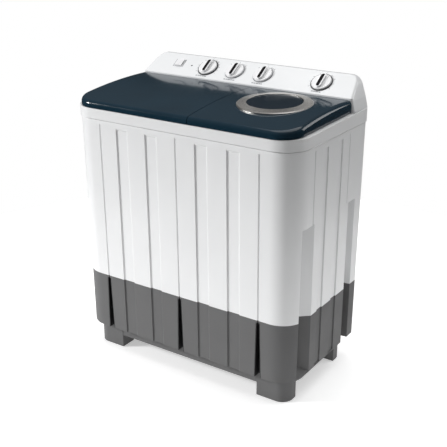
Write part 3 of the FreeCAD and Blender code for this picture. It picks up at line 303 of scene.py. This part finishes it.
def finish_nodes():
    """Every CAD node gets the finish of its slot in the record; those listed in EASED also get eased
    edges.
    """
    for row in frame["record"]["subparts"]:
        name = row["node"]
        thing = NODES[name]
        thing.data.materials.clear()
        thing.data.materials.append(DISC if name == "spin_lid_disc" else FINISH[row["material_slot"]])
        if name in EASED:
            ease(thing, EASED[name] * MM)


def ease(thing, width):
    """Rounds the sharp edges of a CAD node with modifiers, which leave its mesh as it is."""
    flat = thing.modifiers.new("faces", "DECIMATE")
    flat.decimate_type = "DISSOLVE"
    flat.angle_limit = math.radians(0.4)
    bevel = thing.modifiers.new("eased", "BEVEL")
    bevel.width = width
    bevel.segments = 3
    bevel.limit_method = "ANGLE"
    bevel.angle_limit = math.radians(28)
    bevel.harden_normals = False


# ---------------------------------------------------------------- making pieces

def piece(name, solids, material, body, edge=0.0):
    """One piece of several solids, each given by its two end loops of points in metres."""
    form = bmesh.new()
    for ends in solids:
        foot, head = [[form.verts.new(point) for point in loop] for loop in ends]
        form.faces.new(head)
        form.faces.new(foot[::-1])
        for index in range(len(foot)):
            after = (index + 1) % len(foot)
            form.faces.new((foot[index], foot[after], head[after], head[index]))
    bmesh.ops.recalc_face_normals(form, faces=form.faces)
    mesh = bpy.data.meshes.new(name)
    form.to_mesh(mesh)
    form.free()
    mesh.materials.append(material)
    thing = bpy.data.objects.new(name, mesh)
    scene.collection.objects.link(thing)
    if edge:
        bevel = thing.modifiers.new("eased", "BEVEL")
        bevel.width = edge * MM
        bevel.segments = 2
        bevel.limit_method = "ANGLE"
    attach(thing, body)


def on_fascia(x, run, lift):
    """A point on the fascia in metres, run up its slope and lift off its surface, all in mm."""
    along, off = math.cos(FASCIA_ANGLE), math.sin(FASCIA_ANGLE)
    return Vector((x, FASCIA_Y + run * along - lift * off, FASCIA_Z + run * off + lift * along)) * MM


def on_front(x, z, depth):
    """A point in metres, depth behind the casing's leaning front face, all in mm."""
    lean = (HEAD_HALF_DEPTH - FOOT_HALF_DEPTH) / (COLLAR_BOTTOM - BASE_BOTTOM)
    return Vector((x, -FOOT_HALF_DEPTH - (z - BASE_BOTTOM) * lean + depth, z)) * MM


def fascia_piece(name, outlines, low, high, material, body, edge=0.0):
    """Flat shapes on the fascia, each a loop of (x, run), from lift low to lift high."""
    solids = [[[on_fascia(x, run, lift) for x, run in loop] for lift in (low, high)] for loop in outlines]
    piece(name, solids, material, body, edge)


def rectangle(x0, x1, run0, run1):
    """A plain outline on the fascia."""
    return [(x0, run0), (x1, run0), (x1, run1), (x0, run1)]


def rounded_square(x, run, half, radius, steps=8):
    """A square about (x, run) on the fascia, with rounded corners."""
    inset = half - radius
    loop = []
    for across, up, start in ((1, 1, 0), (-1, 1, 90), (-1, -1, 180), (1, -1, 270)):
        for step in range(steps + 1):
            angle = math.radians(start + 90 * step / steps)
            loop.append((x + across * inset + radius * math.cos(angle),
                         run + up * inset + radius * math.sin(angle)))
    return loop


def stripe(x):
    """The pointer stripe, along the left of a grip's top and within its rounded ends."""
    left, right, reach = 6.8, 3.4, 24
    end_height, straight = 6.2, 18.6
    loop = [(x + right, KNOB_RUN - reach), (x + right, KNOB_RUN + reach)]
    for start, middle in ((90, KNOB_RUN + straight), (180, KNOB_RUN - straight)):
        for step in range(7):
            angle = math.radians(start + 15 * step)
            loop.append((x + left * math.cos(angle), middle + end_height * math.sin(angle)))
    return loop


def tick(x, angle, inner, outer, width):
    """A radial mark beside a knob; angle is measured from up the slope, clockwise."""
    out = Vector((math.sin(angle), math.cos(angle)))
    side = Vector((out.y, -out.x)) * width / 2
    centre = Vector((x, KNOB_RUN))
    return [tuple(centre + out * reach + side * sign)
            for reach, sign in ((inner, 1), (outer, 1), (outer, -1), (inner, -1))]


# ---------------------------------------------------------------- control panel details

def add_pointers():
    """A black stripe let into the top of each knob's grip."""
    for name, x in KNOB_X.items():
        fascia_piece(name + "_pointer", [stripe(x)], GRIP_TOP - 0.3, GRIP_TOP + 0.4, INK, name)


def add_dial_marks():
    """Ticks round each knob, every other one shorter."""
    inner, short, long, width = 37.0, 40.5, 42.0, 1.2
    marks = []
    for name, step, count in (("wash_timer", 20, 13), ("spin_timer", 30, 9), ("wash_selector", 45, 3),
                              ("drain_selector", 45, 3)):
        for index in range(count):
            angle = math.radians(step * (index - (count - 1) / 2))
            marks.append(tick(KNOB_X[name], angle, inner, short if index % 2 else long, width))
    fascia_piece("dial_marks", marks, 0.0, 0.12, PRINT, "machine")


def add_label_dashes():
    """A row of plain dashes below each knob."""
    low, high, gap, shortest = 8.2, 11.8, 1.8, 3
    widths = (7.0, 4.5, 9.0, 5.5)
    dashes = []
    for start, end in ((-175, -132), (-68, -27), (35, 72), (241, 275)):
        x = start
        index = 0
        while x < end - shortest:
            width = widths[index % len(widths)]
            dashes.append(rectangle(x, min(x + width, end), low, high))
            x += width + gap
            index += 1
    fascia_piece("label_dashes", dashes, 0.0, 0.15, FAINT, "machine")


def add_indicator():
    """The dark dot between the inlet tab and the first knob."""
    dot = rounded_square(-212, KNOB_RUN, 2.6, 2.5)
    fascia_piece("indicator_dot", [dot], 0.0, 0.5, INK, "machine", 0.15)


def add_tab_details():
    """A thin outline round the inlet tab's travel, and a finger pad on the tab."""
    left, right = TAB_X - 19, TAB_X + 19
    low, high = TAB_RUN - 16, TAB_RUN + 16
    line = 1
    bars = [rectangle(left, right, low, low + line), rectangle(left, right, high - line, high),
            rectangle(left, left + line, low + line, high - line),
            rectangle(right - line, right, low + line, high - line)]
    fascia_piece("inlet_tab_surround", bars, 0.0, 0.4, FAINT, "machine")
    pad = rounded_square(TAB_X, TAB_RUN, 6, 5.9)
    fascia_piece("inlet_tab_dimple", [pad], TAB_TOP - 0.2, TAB_TOP + 0.4, KNOB, "inlet_selector", 0.25)


# ---------------------------------------------------------------- casing details

def add_recess_flanks():
    """The sloping right and top flanks of the four tall recesses in the front."""
    slope, face, floor = 5.0, 0.15, RECESS_DEPTH + 0.2
    for name, material, bottom, top in (
        ("cabinet_recess_flanks", WHITE, SPLIT_HEIGHT + 0.2, RECESS_TOP - 0.2),
        ("base_recess_flanks", BASE, BASE_BOTTOM + 0.5, SPLIT_HEIGHT - 0.2),
    ):
        solids = []
        for middle in RECESS_MIDDLES:
            left, right = middle - RECESS_HALF_WIDTH + 0.1, middle + RECESS_HALF_WIDTH + 0.1
            section = [(right, face), (right - slope, floor), (right + 0.6, floor)]
            solids.append([[on_front(x, z, depth) for x, depth in section] for z in (bottom, top)])
            if material is WHITE:
                section = [(RECESS_TOP, face), (top - slope, floor), (RECESS_TOP + 0.6, floor)]
                solids.append([[on_front(x, z, depth) for z, depth in section] for x in (left, right)])
        piece(name, solids, material, "machine")


# ---------------------------------------------------------------- studio

def add_camera():
    camera = bpy.data.cameras.new("camera")
    camera.lens = 68.16
    camera.sensor_width = 36
    eye = bpy.data.objects.new("camera", camera)
    eye.location = (1.3919, -2.0572, 1.4149)
    eye.rotation_euler = (math.radians(90 - 21.43), 0, math.radians(33.66))
    scene.collection.objects.link(eye)
    scene.camera = eye


def add_floor():
    """A plain pale disc, lit a little from within so that it stays near white."""
    bpy.ops.mesh.primitive_circle_add(vertices=96, radius=1.6, fill_type="NGON")
    floor = bpy.context.object
    floor.name = "floor"
    shader = Shader("floor_pale", (0.90, 0.90, 0.90), 0.9, Emission_Color=(1, 1, 1, 1),
                    Emission_Strength=0.42)
    shader.tint(0.004, 0.8)
    floor.data.materials.append(shader.material)


def add_world():
    """White behind the object, and dim light that grows from the horizon upwards."""
    world = bpy.data.worlds.new("studio")
    world.use_nodes = True
    scene.world = world
    tree = world.node_tree
    background = tree.nodes["Background"]
    background.inputs["Color"].default_value = (1, 1, 1, 1)
    place = tree.nodes.new("ShaderNodeTexCoord")
    axes = tree.nodes.new("ShaderNodeSeparateXYZ")
    tree.links.new(place.outputs["Generated"], axes.inputs[0])
    height = tree.nodes.new("ShaderNodeMapRange")
    for name, value in (("From Min", 0.25), ("From Max", 0.9), ("To Min", 0.06), ("To Max", 0.35)):
        height.inputs[name].default_value = value
    tree.links.new(axes.outputs["Z"], height.inputs["Value"])
    path = tree.nodes.new("ShaderNodeLightPath")
    seen = tree.nodes.new("ShaderNodeMath")
    seen.operation = "MAXIMUM"
    tree.links.new(path.outputs["Is Camera Ray"], seen.inputs[0])
    tree.links.new(height.outputs["Result"], seen.inputs[1])
    tree.links.new(seen.outputs[0], background.inputs["Strength"])


def add_softbox(name, place, aim, size, power):
    """A square soft light at place, turned towards aim; metres and watts."""
    lamp = bpy.data.lights.new(name, "AREA")
    lamp.shape = "SQUARE"
    lamp.size = size
    lamp.energy = power
    holder = bpy.data.objects.new(name, lamp)
    holder.location = place
    holder.rotation_euler = (Vector(aim) - Vector(place)).to_track_quat("-Z", "Y").to_euler()
    scene.collection.objects.link(holder)


def add_overhead():
    """A very wide soft light from above, a little from behind."""
    sun = bpy.data.lights.new("overhead", "SUN")
    sun.energy = 1.6
    sun.angle = math.radians(60)
    holder = bpy.data.objects.new("overhead", sun)
    holder.rotation_euler = (math.radians(-14), 0, 0)
    scene.collection.objects.link(holder)


finish_nodes()
add_pointers()
add_dial_marks()
add_label_dashes()
add_indicator()
add_tab_details()
add_recess_flanks()
add_camera()
add_floor()
add_world()
add_softbox("key", (-4.2, -3.1, 2.4), (0, 0, 0.6), 1.0, 252)
add_softbox("fill", (2.4, 2.6, 2.0), (0.2, 0.1, 0.85), 1.6, 30)
add_overhead()
scene.view_settings.view_transform = "Standard"
